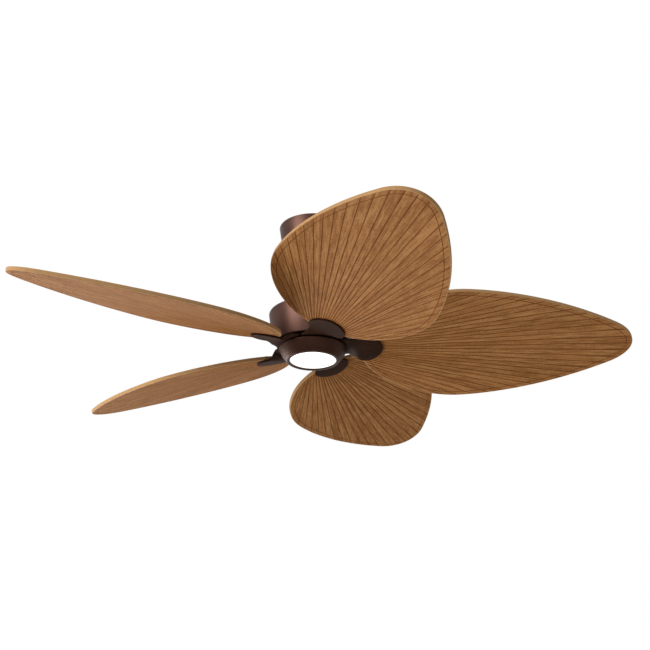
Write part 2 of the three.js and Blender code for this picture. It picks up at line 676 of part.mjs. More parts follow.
function lensBezel() {
  const lipTop = panEnd + BEZEL_LIP;
  const top = bezelTop - SEAT;
  const recess = LENS_OPENING + LENS_OVERLAP + HOLE_CLEARANCE;
  const side = [panEnd, (panEnd + top) / 2, top].map((height) => [panRadiusAt(height), height]);
  return turned([
    [LENS_OPENING, panEnd], ...side, [recess, top], [recess, lipTop], [LENS_OPENING, lipTop],
  ]);
}

function lens() {
  const low = panEnd + BEZEL_LIP;
  const radius = LENS_OPENING + LENS_OVERLAP;
  return turned([[0, low], [radius, low], [radius, low + LENS_THICKNESS], [0, low + LENS_THICKNESS]]);
}

function shaftNut() {
  const corner = NUT_FLATS / Math.sqrt(3);
  const low = lightPlateUnderside - NUT_HEIGHT;
  return cut(bar(corner, low, lightPlateUnderside, 6),
    [bar(threadBore, low - 1, lightPlateUnderside + 1, SMALL_STEPS)]);
}

add('light_plate', ring(threadBore, lightPlateRadius, lightPlateUnderside, lightPlateTop), steel);
add('shaft_nut', shaftNut(), steel);
add('led_board', ring(BOARD_INNER, ledgeInner - BOARD_MARGIN,
  lightPlateUnderside - BOARD_THICKNESS, lightPlateUnderside), boardWhite);
add('light_housing', lightHousing(), bronze);
add('lens', lens(), diffuser);
add('lens_bezel', lensBezel(), darkBronze);

export default fan;
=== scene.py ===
"""Looks of the palm-leaf ceiling fan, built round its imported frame.

Lengths are in metres in the fan's own frame: +Z up into the ceiling, the origin on the ceiling on the
fan's axis, and +X out along the first blade.
"""

import logging
import math
from collections.abc import Sequence
from dataclasses import dataclass, replace
from enum import Enum
from typing import ClassVar

import bmesh
import bpy
from bmesh.types import BMesh, BMFace, BMVert
from bpy.types import Material, Mesh, Node, NodeSocket, NodeTree
from mathutils import Matrix, Vector
from mathutils.geometry import interpolate_bezier
from mathutils.kdtree import KDTree


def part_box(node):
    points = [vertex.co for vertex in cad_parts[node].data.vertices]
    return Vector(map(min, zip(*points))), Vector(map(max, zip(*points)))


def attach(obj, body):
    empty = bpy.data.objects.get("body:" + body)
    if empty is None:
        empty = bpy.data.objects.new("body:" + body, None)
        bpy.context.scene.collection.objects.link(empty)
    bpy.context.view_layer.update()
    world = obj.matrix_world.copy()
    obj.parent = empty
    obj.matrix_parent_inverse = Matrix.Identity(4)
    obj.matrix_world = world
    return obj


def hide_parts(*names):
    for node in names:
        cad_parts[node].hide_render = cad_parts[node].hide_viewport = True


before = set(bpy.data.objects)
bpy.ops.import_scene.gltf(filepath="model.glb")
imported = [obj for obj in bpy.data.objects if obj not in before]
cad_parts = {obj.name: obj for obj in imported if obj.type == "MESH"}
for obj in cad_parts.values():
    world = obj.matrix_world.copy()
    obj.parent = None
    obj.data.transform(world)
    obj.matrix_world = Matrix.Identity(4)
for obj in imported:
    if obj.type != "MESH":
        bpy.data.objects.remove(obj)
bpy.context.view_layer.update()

MM = 0.001
TURN = 2 * math.pi
BLADES = 5
PITCH = math.radians(17.9)
BLADE_DROP = 5 * MM  # rotor's underside to the blade's, on the blade's own axis
COVER_LIFT = 3 * MM  # rotor's underside to the motor cover's rim
SEAT = 0.3 * MM  # gap between a piece and what it sits on
SAME = 1e-6  # points nearer than this count as one
log = logging.getLogger("palm_fan")

Colour = tuple[float, float, float]
Pair = tuple[float, float]
Point = Sequence[float]
Value = NodeSocket | float | Point


class Body(Enum):
    """Moving bodies of the fan."""

    CEILING = "ceiling_mount"
    SEAT = "ball_seat"
    FAN = "fan_body"
    ROTOR = "rotor"


def linear(colour: Colour) -> tuple[float, float, float, float]:
    """Turns a colour of 0 to 255, as seen on a screen, into a shader's linear one with an alpha of 1."""
    parts = [c / 255 for c in colour]
    return (*(c / 12.92 if c <= 0.04045 else ((c + 0.055) / 1.055) ** 2.4 for c in parts), 1.0)


def smooth(low: float, high: float, x: float) -> float:
    """Eases from 0, where x is low, to 1, where it is high."""
    t = min(1.0, max(0.0, (x - low) / (high - low)))
    return t * t * (3 - 2 * t)


def spoke(number: int) -> Matrix:
    """Gives the turn from the first blade to another, by its number from 1."""
    return Matrix.Rotation(TURN * (number - 1) / BLADES, 4, "Z")


@dataclass(frozen=True)
class RibFan:
    """How a leaf's ribs fan out, and how far inside its edge the border line runs.

    Rib 0 runs along the middle, and ribs on the -v side have numbers below 0.
    """

    centre: float = 13 * MM
    step: float = 0.0337
    drift: float = 4.1e-6
    border: float = 12 * MM
    tries: int = 12

    def slope(self, number: float) -> float:
        """Gives how far across a rib goes for each unit along."""
        return math.copysign(self.step * abs(number) + self.drift * number**4, number)

    def space(self, u: float, number: float) -> float:
        """Gives the distance between neighbouring ribs at a place along the blade."""
        return (self.step + 4 * self.drift * abs(number) ** 3) * (u - self.centre)

    def number(self, u: float, v: float) -> float:
        """Gives the number of the rib through a point, with its fraction between ribs.

        Args:
            u: Place along the blade.
            v: Place across it.

        Returns:
            The number.
        """
        slope = abs(v) / (u - self.centre)
        number = slope / self.step
        for _ in range(self.tries):
            error = self.step * number + self.drift * number**4 - slope
            number -= error / (self.step + 4 * self.drift * number**3)
        return math.copysign(number, v)


RIBS = RibFan()


# ---- Finishes ----


class Nodes:
    """A node tree, with short ways to add its nodes and wire them up."""

    def __init__(self, tree: NodeTree) -> None:
        """Takes the tree to add nodes to."""
        self.tree = tree

    def add(self, kind: str, inputs: dict[str | int, Value] | None = None, **settings: object) -> Node:
        """Adds a node.

        Args:
            kind: The node's type, without its ShaderNode prefix.
            inputs: What goes into its sockets, by name or number.
            **settings: The node's own properties.

        Returns:
            The new node.
        """
        node = self.tree.nodes.new(f"ShaderNode{kind}")
        for key, value in settings.items():
            setattr(node, key, value)
        for key, value in (inputs or {}).items():
            self.put(node.inputs[key], value)
        return node

    def put(self, socket: NodeSocket, value: Value) -> None:
        """Links another node's output to a socket, or sets the socket's value.

        Args:
            socket: The socket to fill.
            value: An output socket, a number or a vector.
        """
        if isinstance(value, NodeSocket):
            self.tree.links.new(value, socket)
        else:
            socket.default_value = value

    def math(self, operation: str, a: Value, b: Value = 0.0) -> NodeSocket:
        """Adds a Math node and gives its result."""
        return self.add("Math", {0: a, 1: b}, operation=operation).outputs[0]

    def seen(self) -> NodeSocket:
        """Tells the rays that show a surface to the eye from those that only light others.

        Returns:
            A socket that is 1 for camera, glossy and transmission rays.
        """
        rays = self.add("LightPath").outputs
        direct = self.math("MAXIMUM", rays["Is Camera Ray"], rays["Is Glossy Ray"])
        return self.math("MAXIMUM", direct, rays["Is Transmission Ray"])


class Shader(Nodes):
    """One material's nodes, with those that the finishes share."""

    def __init__(self, name: str) -> None:
        """Starts a material that holds one Principled shader.

        Args:
            name: The material's name.
        """
        self.material = bpy.data.materials.new(name)
        self.material.use_nodes = True
        super().__init__(self.material.node_tree)
        self.surface = self.tree.nodes["Principled BSDF"]

    def ease(self, value: Value, low: float, high: float, start: float = 0.0, end: float = 1.0) -> NodeSocket:
        """Eases a value from start, at low and below it, to end, at high and above it."""
        inputs = {"Value": value, "From Min": low, "From Max": high, "To Min": start, "To Max": end}
        return self.add("MapRange", inputs, interpolation_type="SMOOTHSTEP").outputs[0]

    def mix(self, share: Value, a: Value, b: Value) -> NodeSocket:
        """Mixes two colours, with the share that shows of the second one."""
        return self.add("Mix", {0: share, 6: a, 7: b}, data_type="RGBA").outputs[2]

    def noise(self, vector: Value, scale: float, detail: float = 2.0) -> NodeSocket:
        """Adds a noise texture, its scale in spots to the metre, and gives its value round 0.5."""
        return self.add("TexNoise", {"Vector": vector, "Scale": scale, "Detail": detail}).outputs[0]

    def scaled(self, vector: Value, scale: Point) -> NodeSocket:
        """Scales a vector along each axis with a Mapping node."""
        return self.add("Mapping", {"Vector": vector, "Scale": scale}).outputs[0]

    def place(self, scale: Point = (1, 1, 1)) -> NodeSocket:
        """Reads Object coordinates, scaled along each axis."""
        return self.scaled(self.add("TexCoord").outputs["Object"], scale)

    def bump(self, height: Value, depth: float, strength: float) -> None:
        """Gives the surface a relief with a height from 0 to 1, a depth and a share that shows."""
        node = self.add("Bump", {"Height": height, "Distance": depth, "Strength": strength})
        self.put(self.surface.inputs["Normal"], node.outputs[0])

    def finish(self, **values: Value) -> Material:
        """Fills the Principled shader's sockets.

        Args:
            **values: Socket names in small letters with _ for a space, and their values.

        Returns:
            The finished material.
        """
        for key, value in values.items():
            name = key.replace("_", " ").title().replace("Ior", "IOR")
            self.put(self.surface.inputs[name], value)
        return self.material


@dataclass(frozen=True)
class Finish:
    """What a piece is coated with. Its material is made once and shared."""

    made: ClassVar[dict[str, Material]] = {}
    name: str
    slot: str
    colour: Colour

    def build(self, shader: Shader) -> None:
        """Wires the finish's nodes into its material's tree."""
        shader.finish(base_color=linear(self.colour))

    def material(self) -> Material:
        """Gives the finish's material.

        Returns:
            The material, new on the first call.
        """
        if self.name not in self.made:
            shader = Shader(self.name)
            self.build(shader)
            self.made[self.name] = shader.material
        return self.made[self.name]


@dataclass(frozen=True)
class RubbedBronze(Finish):
    """Oil-rubbed bronze: a dark brown satin metal whose tone drifts a little."""

    worn: Colour
    metal: float = 0.9
    roughness: float = 0.4
    shine: float = 0.2
    edge: float = 0.7
    grain: float = 900.0

    def build(self, shader: Shader) -> None:
        """Wires cloudy colour, uneven gloss and a fine powder grain.

        Args:
            shader: The material's node tree.
        """
        at = shader.place()
        cloud = shader.noise(at, 18, 3)
        speck = shader.noise(at, self.grain)
        share = shader.ease(cloud, 0.35, 0.7)
        colour = shader.mix(share, linear(self.colour), linear(self.worn))
        colour = shader.mix(shader.ease(speck, 0.55, 0.75, 0, 0.25), colour, linear(self.worn))
        gloss = shader.math("ADD", shader.ease(cloud, 0.3, 0.7, -0.03, 0.04), self.roughness)
        gloss = shader.math("ADD", shader.ease(speck, 0.3, 0.7, -0.04, 0.04), gloss)
        shader.bump(speck, 0.06 * MM, 0.5)
        shader.finish(
            base_color=colour, roughness=gloss, metallic=self.metal, specular_ior_level=self.shine,
            specular_tint=(self.edge, self.edge, self.edge, 1))


@dataclass(frozen=True)
class CarvedLeaf(Finish):
    """Stained palm leaf: mottled strips, dark ribs, a scored border and a golden rim partly paled by a
    painted edge highlight.
    """

    shade: Colour
    flush: Colour
    rib: Colour
    # rim colour: the edge's own golden tone, made paler as a painted edge highlight
    rim: Colour

    def build(self, shader: Shader) -> None:
        """Wires the strips, ribs, border and rim from the blade's own attributes.

        Args:
            shader: The material's node tree.
        """
        leaf = shader.add("Attribute", attribute_name="leaf").outputs["Vector"]
        rib = shader.add("Attribute", attribute_name="rib").outputs["Vector"]
        along, _, height = shader.add("SeparateXYZ", {0: leaf}).outputs
        number, rim, _ = shader.add("SeparateXYZ", {0: rib}).outputs
        edge = (rim, 1 * MM, 1.8 * MM)

        # Wood figure, grain that runs along each strip, and a tone of its own for each strip
        strip = shader.add("CombineXYZ", {0: along, 1: number, 2: height}).outputs[0]
        fibre = shader.noise(shader.scaled(strip, (60, 14, 30)), 1.5)
        weave = shader.noise(leaf, 270)
        patch = shader.noise(leaf, 24)
        index = shader.math("ADD", shader.math("FLOOR", number), shader.math("MULTIPLY", height, 7.0))
        layers = (
            (shader.noise(shader.scaled(leaf, (1, 1.7, 1)), 60, 3), 0.2),
            (fibre, 0.2),
            (weave, 0.4),
            (shader.add("TexWhiteNoise", {"W": index}, noise_dimensions="1D").outputs[0], 0.15),
        )
        share = shader.noise(shader.scaled(strip, (13, 2.2, 30)), 1.8, 4)
        for layer, weight in layers:
            share = shader.math("ADD", share, shader.math("MULTIPLY", layer, weight))
        colour = shader.mix(shader.ease(share, 0.73, 1.21), linear(self.colour), linear(self.shade))
        colour = shader.mix(shader.ease(patch, 0.4, 0.65, 0, 0.25), colour, linear(self.flush))
        # Pale rim colour on the rounded edge: partly the edge's own golden tone, partly a painted edge
        # highlight
        colour = shader.mix(shader.ease(*edge, 0.8, 0.0), colour, linear(self.rim))

        line = shader.math(
            "MULTIPLY", shader.ease(self.rib_distance(shader, along, number), 0.5 * MM, 1.7 * MM, 1, 0),
            shader.ease(patch, 0.3, 0.65, 1, 0.65))
        line = shader.math("MULTIPLY", line, shader.ease(rim, 1.6 * MM, 2.4 * MM, 0.0, 1.0))
        off_border = shader.math("ABSOLUTE", shader.math("SUBTRACT", rim, RIBS.border))
        line = shader.math("MAXIMUM", line, shader.ease(off_border, 0.4 * MM, 1.2 * MM, 0.75, 0.0))
        colour = shader.mix(line, colour, linear(self.rib))

        relief = shader.math("MULTIPLY", shader.math("ADD", weave, fibre), 0.5)
        relief = shader.math("MULTIPLY", relief, shader.ease(rim, 1 * MM, 2 * MM))
        shader.bump(relief, 0.15 * MM, 0.4)
        gloss = shader.math(
            "MAXIMUM", shader.ease(weave, 0.3, 0.7, 0.56, 0.68), shader.ease(*edge, 0.75, 0.0))
        shader.finish(
            base_color=colour, roughness=gloss, specular_ior_level=shader.ease(*edge, 0.14, 0.014))

    def rib_distance(self, shader: Shader, along: NodeSocket, number: NodeSocket) -> NodeSocket:
        """Wires the distance from the nearest rib, as RibFan.space gives it.

        Args:
            shader: The material's node tree.
            along: Place along the blade.
            number: The rib number there.

        Returns:
            The distance's socket, in metres.
        """
        cube = shader.math("POWER", shader.math("ABSOLUTE", number), 3.0)
        step = shader.math("ADD", shader.math("MULTIPLY", cube, 4 * RIBS.drift), RIBS.step)
        space = shader.math("MULTIPLY", step, shader.math("SUBTRACT", along, RIBS.centre))
        part = shader.math("SUBTRACT", shader.math("FRACT", shader.math("ADD", number, 0.5)), 0.5)
        return shader.math("MULTIPLY", shader.math("ABSOLUTE", part), space)


@dataclass(frozen=True)
class PlatedSteel(Finish):
    """Zinc-plated or ground steel with faint drawing lines."""

    roughness: float = 0.34
    lines: float = 700.0
    spangle_tone: float = 0.72

    def build(self, shader: Shader) -> None:
        """Wires bright metal with fine lines along Z and soft spangle.

        Args:
            shader: The material's node tree.
        """
        lines = shader.noise(shader.place((1, 1, 0.05)), self.lines)
        spangle = shader.noise(shader.place(), 120)
        dark = tuple(self.spangle_tone * c for c in self.colour)
        colour = shader.mix(shader.ease(spangle, 0.35, 0.65, 0, 0.6), linear(self.colour), linear(dark))
        gloss = shader.math("ADD", shader.ease(lines, 0.3, 0.7, -0.06, 0.08), self.roughness)
        shader.bump(lines, 0.05 * MM, 0.4)
        shader.finish(base_color=colour, roughness=gloss, metallic=0.9)


@dataclass(frozen=True)
class Laminations(Finish):
    """Stack of thin electrical-steel sheets."""

    sheet: float = 0.5 * MM
    gap_tone: float = 0.4

    def build(self, shader: Shader) -> None:
        """Wires thin dark lines between the sheets.

        Args:
            shader: The material's node tree.
        """
        height = shader.add("SeparateXYZ", {0: shader.place()}).outputs[2]
        wave = shader.math("SINE", shader.math("MULTIPLY", height, TURN / self.sheet))
        dark = tuple(self.gap_tone * c for c in self.colour)
        colour = shader.mix(shader.ease(wave, 0.4, 1.0, 0, 0.8), linear(self.colour), linear(dark))
        shader.bump(wave, 0.05 * MM, 0.5)
        shader.finish(base_color=colour, roughness=0.45, metallic=0.8)


@dataclass(frozen=True)
class MouldedPlastic(Finish):
    """Moulded plastic or ceramic with a spark-eroded skin."""

    roughness: float = 0.5
    grain: float = 700.0
    depth: float = 0.08 * MM

    def build(self, shader: Shader) -> None:
        """Wires a fine grain and a slight drift of the tone.

        Args:
            shader: The material's node tree.
        """
        at = shader.place()
        grain = shader.noise(at, self.grain)
        drift = shader.noise(at, 30)
        pale = tuple(min(255.0, c * 1.12 + 4) for c in self.colour)
        colour = shader.mix(shader.ease(drift, 0.35, 0.65, 0, 0.5), linear(self.colour), linear(pale))
        gloss = shader.math("ADD", shader.ease(grain, 0.3, 0.7, -0.05, 0.06), self.roughness)
        shader.bump(grain, self.depth, 0.6)
        shader.finish(base_color=colour, roughness=gloss)


@dataclass(frozen=True)
class OpalDiffuser(Finish):
    """Opal diffuser that glows from the lamps behind it."""

    glow: float = 0.85
    rim_glow: float = 0.8
    frost: Colour = (240, 238, 230)
    light: Colour = (255, 254, 249)
    fade: Pair = (38 * MM, 50 * MM)

    def build(self, shader: Shader) -> None:
        """Wires an even glow that falls off a little towards the rim.

        Args:
            shader: The material's node tree.
        """
        far = shader.add("VectorMath", {0: shader.place((1, 1, 0))}, operation="LENGTH").outputs["Value"]
        frost = shader.noise(shader.place(), 500)
        colour = shader.mix(shader.ease(frost, 0.3, 0.7, 0, 0.3), linear(self.colour), linear(self.frost))
        shader.bump(frost, 0.04 * MM, 0.4)
        shader.finish(
            base_color=colour, roughness=0.35, emission_color=linear(self.light),
            emission_strength=shader.ease(far, *self.fade, self.glow, self.rim_glow * self.glow))


BRONZE = RubbedBronze("rubbed_bronze", "bronze", (77, 54, 47), (89, 65, 57), 0.92, 0.4)
# Darker copy of the bronze for the down-facing light pan and the ring at its lens: painted shade on the same
# metal as BRONZE
SHADED_PAN_BRONZE = RubbedBronze("rubbed_bronze_pan_painted_shade", "bronze", (50, 30, 22), (59, 38, 29), 0.6, 0.42, 0.08)
SHADED_RING_BRONZE = replace(SHADED_PAN_BRONZE, name="rubbed_bronze_ring_painted_shade", slot="dark_bronze")
DARK_BRONZE = RubbedBronze(
    "rubbed_bronze_dark", "dark_bronze", (41, 25, 17), (49, 32, 23), 0.02, 0.58, 0.012)
# The last colour, the rim's, is the edge's golden tone made paler as a painted edge highlight.
LEAF = CarvedLeaf(
    "carved_leaf", "leaf", (164, 117, 72), (125, 81, 43), (145, 92, 48), (98, 54, 20), (174, 136, 92))
ZINC = PlatedSteel("zinc_plate", "steel", (178, 181, 184))
GROUND_STEEL = PlatedSteel("ground_steel", "steel", (190, 190, 192), 0.25, 1500)
CORE_STEEL = Laminations("laminated_steel", "electrical_steel", (128, 128, 132))
FERRITE = MouldedPlastic("ferrite", "magnet", (44, 44, 47), 0.6, 1100)
NYLON = MouldedPlastic("natural_nylon", "nylon", (222, 216, 204), 0.5, 500)
BLACK_PLASTIC = MouldedPlastic("black_plastic", "black_plastic", (32, 32, 35), 0.5, 800, 0.12 * MM)
OPAL = OpalDiffuser("opal_diffuser", "diffuser", (250, 249, 245))
SOLDER_MASK = MouldedPlastic("white_board", "board", (236, 236, 231), 0.35, 900)


# ---- Shaping ----


class Shape:
    """A mesh in the making, with the operators that the fan's pieces share."""

    def __init__(self) -> None:
        """Starts with nothing."""
        self.mesh: BMesh = bmesh.new()

    def slab(self, points: Sequence[Point], thickness: float) -> "Shape":
        """Makes a plate of an outline in the XY plane.

        Args:
            points: The outline's corners.
            thickness: How far up the plate goes.

        Returns:
            This shape.
        """
        base = self.mesh.faces.new([self.mesh.verts.new((*p[:2], 0)) for p in points])
        bmesh.ops.translate(self.mesh, verts=self.extrude([base]), vec=(0, 0, thickness))
        return self.face_out()

    def extrude(self, faces: Sequence[BMFace]) -> list[BMVert]:
        """Extrudes faces in place and gives their new corners, to be moved."""
        made = bmesh.ops.extrude_face_region(self.mesh, geom=faces)
        return [v for v in made["geom"] if isinstance(v, BMVert)]

    def spin(self, profile: Sequence[Point], steps: int) -> "Shape":
        """Turns a profile about the Z axis.

        Args:
            profile: Radius and height of each point; it closes on itself unless it ends on the axis.
            steps: Faces round the turn.

        Returns:
            This shape.
        """
        verts = [self.mesh.verts.new((radius, 0, height)) for radius, height in profile]
        pairs = list(zip(verts, verts[1:]))
        if profile[0][0] > SAME:
            pairs.append((verts[-1], verts[0]))
        edges = [self.mesh.edges.new(pair) for pair in pairs]
        bmesh.ops.spin(
            self.mesh, geom=verts + edges, axis=(0, 0, 1), cent=(0, 0, 0), angle=TURN, steps=steps,
            use_merge=True)
        bmesh.ops.remove_doubles(self.mesh, verts=self.mesh.verts[:], dist=0.1 * SAME)
        return self.face_out()

    def face_out(self) -> "Shape":
        """Points every face outwards and gives this shape back."""
        bmesh.ops.recalc_face_normals(self.mesh, faces=self.mesh.faces[:])
        return self

    def soften(self, width: float = 0.5 * MM, segments: int = 3, angle: float = 40) -> "Shape":
        """Rounds the sharp edges, by default as those of a pressed sheet.

        Args:
            width: How far the rounding reaches from each edge.
            segments: Faces across the rounding.
            angle: Least fold of an edge that is rounded, in degrees.

        Returns:
            This shape.
        """
        least = math.radians(angle)
        edges = [e for e in self.mesh.edges if e.is_manifold and e.calc_face_angle() > least]
        bmesh.ops.bevel(
            self.mesh, geom=edges, offset=width, offset_type="OFFSET", segments=segments, profile=0.5,
            affect="EDGES", clamp_overlap=True, material=-1)
        return self

    def slice(self, point: Point, normal: Point) -> None:
        """Cuts new edges where the plane through a point, square to a normal, crosses the mesh."""
        geometry = self.mesh.verts[:] + self.mesh.edges[:] + self.mesh.faces[:]
        bmesh.ops.bisect_plane(self.mesh, geom=geometry, dist=SAME, plane_co=point, plane_no=normal)

    def move(self, matrix: Matrix) -> "Shape":
        """Puts the whole shape in place and gives it back."""
        bmesh.ops.transform(self.mesh, matrix=matrix, verts=self.mesh.verts[:])
        return self

    def data(self, name: str, sharp: float = 32) -> Mesh:
        """Writes the shape into a mesh with smooth shading.

        Args:
            name: The mesh's name.
            sharp: Least fold that stays a hard edge, in degrees.

        Returns:
            The mesh.
        """
        mesh = bpy.data.meshes.new(name)
        for face in self.mesh.faces:
            face.smooth = True
        self.mesh.to_mesh(mesh)
        self.mesh.free()
        mesh.set_sharp_from_angle(angle=math.radians(sharp))
        return mesh


def fit(mesh: Mesh, finish: Finish, body: Body, *nodes: str) -> None:
    """Makes a piece of a mesh, dresses it and fastens it to its body.

    Args:
        mesh: The piece's mesh, in place.
        finish: What it is coated with.
        body: The body that it moves with.
        *nodes: The plain solids that it stands for.
    """
    piece = bpy.data.objects.new(mesh.name, mesh)
    bpy.context.scene.collection.objects.link(piece)
    mesh.materials.append(finish.material())
    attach(piece, body.value)
    if nodes:
        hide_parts(*nodes)
    log.info("%s: %d faces", piece.name, len(mesh.polygons))


def dress(finish: Finish, *nodes: str) -> None:
    """Coats plain solids that keep their own shape.

    Args:
        finish: What they are coated with.
        *nodes: The solids' names.
    """
    for node in nodes:
        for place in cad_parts[node].material_slots:
            place.material = finish.material()
        log.info("%s: %s", node, finish.name)


def bulged(top: float, bottom: float, bulge: float, share: float) -> float:
    """Gives the radius of a side that swells by a bulge, at a share of the way down it."""
    return top + (bottom - top) * share + 2 * share * (1 - share) * bulge


def arc(centre: Point, radius: float, start: float, end: float, steps: int) -> list[Vector]:
    """Gives the points of an arc between two angles in degrees, ends included."""
    angles = [math.radians(start + (end - start) * i / steps) for i in range(steps + 1)]
    return [Vector((centre[0] + radius * math.cos(a), centre[1] + radius * math.sin(a))) for a in angles]


def mirrored(chain: Sequence[Point], steps: int) -> list[Vector]:
    """Gives an outline that is the same on both sides of the X axis.

    Args:
        chain: The curves of the +Y side, in millimetres: an end, and for each curve two pulls and an end.
        steps: Points along each curve.

    Returns:
        The closed outline's points, in metres.
    """
    side: list[Vector] = []
    for first in range(0, len(chain) - 1, 3):
        points = [Vector((*p, 0)) * MM for p in chain[first:first + 4]]
        side += interpolate_bezier(*points, steps + 1)[1 if side else 0:]
    other = [Vector((p.x, -p.y, 0)) for p in reversed(side)]
    whole = side + other
    return [p for i, p in enumerate(whole) if (p - whole[i - 1]).length > 10 * SAME]


@dataclass
class CrossScrew:
    """Pan-head screw with a cross recess. The head stands on the XY plane, and the shank goes down."""

    radius: float = 4.5 * MM
    height: float = 2.6 * MM
    flat: float = 0.62  # share of the radius under the crown's flat top
    side: float = 0.3  # share of the height up to the crown
    top: float = 0.9  # share of the height above which the cross is cut
    shank: float = 2.3 * MM
    tip: float = 1.84 * MM
    depth: float = 8 * MM
    arm: float = 2.2 * MM
    width: float = 0.8 * MM
    sink: float = 1.2 * MM
    narrowing: float = 0.75

    def profile(self) -> list[Point]:
        """Gives the turned profile, from the shank's end up to the middle of the crown.

        Returns:
            Radius and height of each point.
        """
        flat = self.flat * self.radius
        crown = [(flat + (self.radius - flat) * x, self.height * (self.side + (1 - self.side) * y))
                 for x, y in arc((0, 0), 1, 18, 90, 4)]
        return [
            (0, -self.depth), (self.tip, -self.depth), (self.shank, self.tip - self.depth), (self.shank, 0),
            (self.radius, 0), (self.radius, self.side * self.height), *crown, (0, self.height)]

    def in_cross(self, x: float, y: float, z: float) -> bool:
        """Tells whether a point near the crown's top lies in the cross."""
        near, far = sorted((abs(x), abs(y)))
        return z > self.top * self.height and near < self.width / 2 and far < self.arm

    def shape(self) -> Shape:
        """Builds the screw.

        Returns:
            The screw.
        """
        screw = Shape().spin(self.profile(), 24)
        for at in (-self.width / 2, self.width / 2, -self.arm, self.arm):
            for normal in ((1, 0, 0), (0, 1, 0)):
                screw.slice(tuple(at * n for n in normal), normal)
        cross = [f for f in screw.mesh.faces if self.in_cross(*f.calc_center_median())]
        floor = screw.extrude(cross)
        bmesh.ops.translate(screw.mesh, verts=floor, vec=(0, 0, -self.sink))
        bmesh.ops.scale(screw.mesh, verts=floor, vec=(self.narrowing, self.narrowing, 1))
        bmesh.ops.delete(screw.mesh, geom=cross, context="FACES_ONLY")
        return screw.face_out()

    def drive(self, place: Matrix, body: Body, node: str) -> None:
        """Puts the screw in place of a plain one, with its XY plane at the place that is given."""
        fit(self.shape().move(place).data(f"{node}_head"), DARK_BRONZE, body, node)


# ---- Sub-assemblies ----


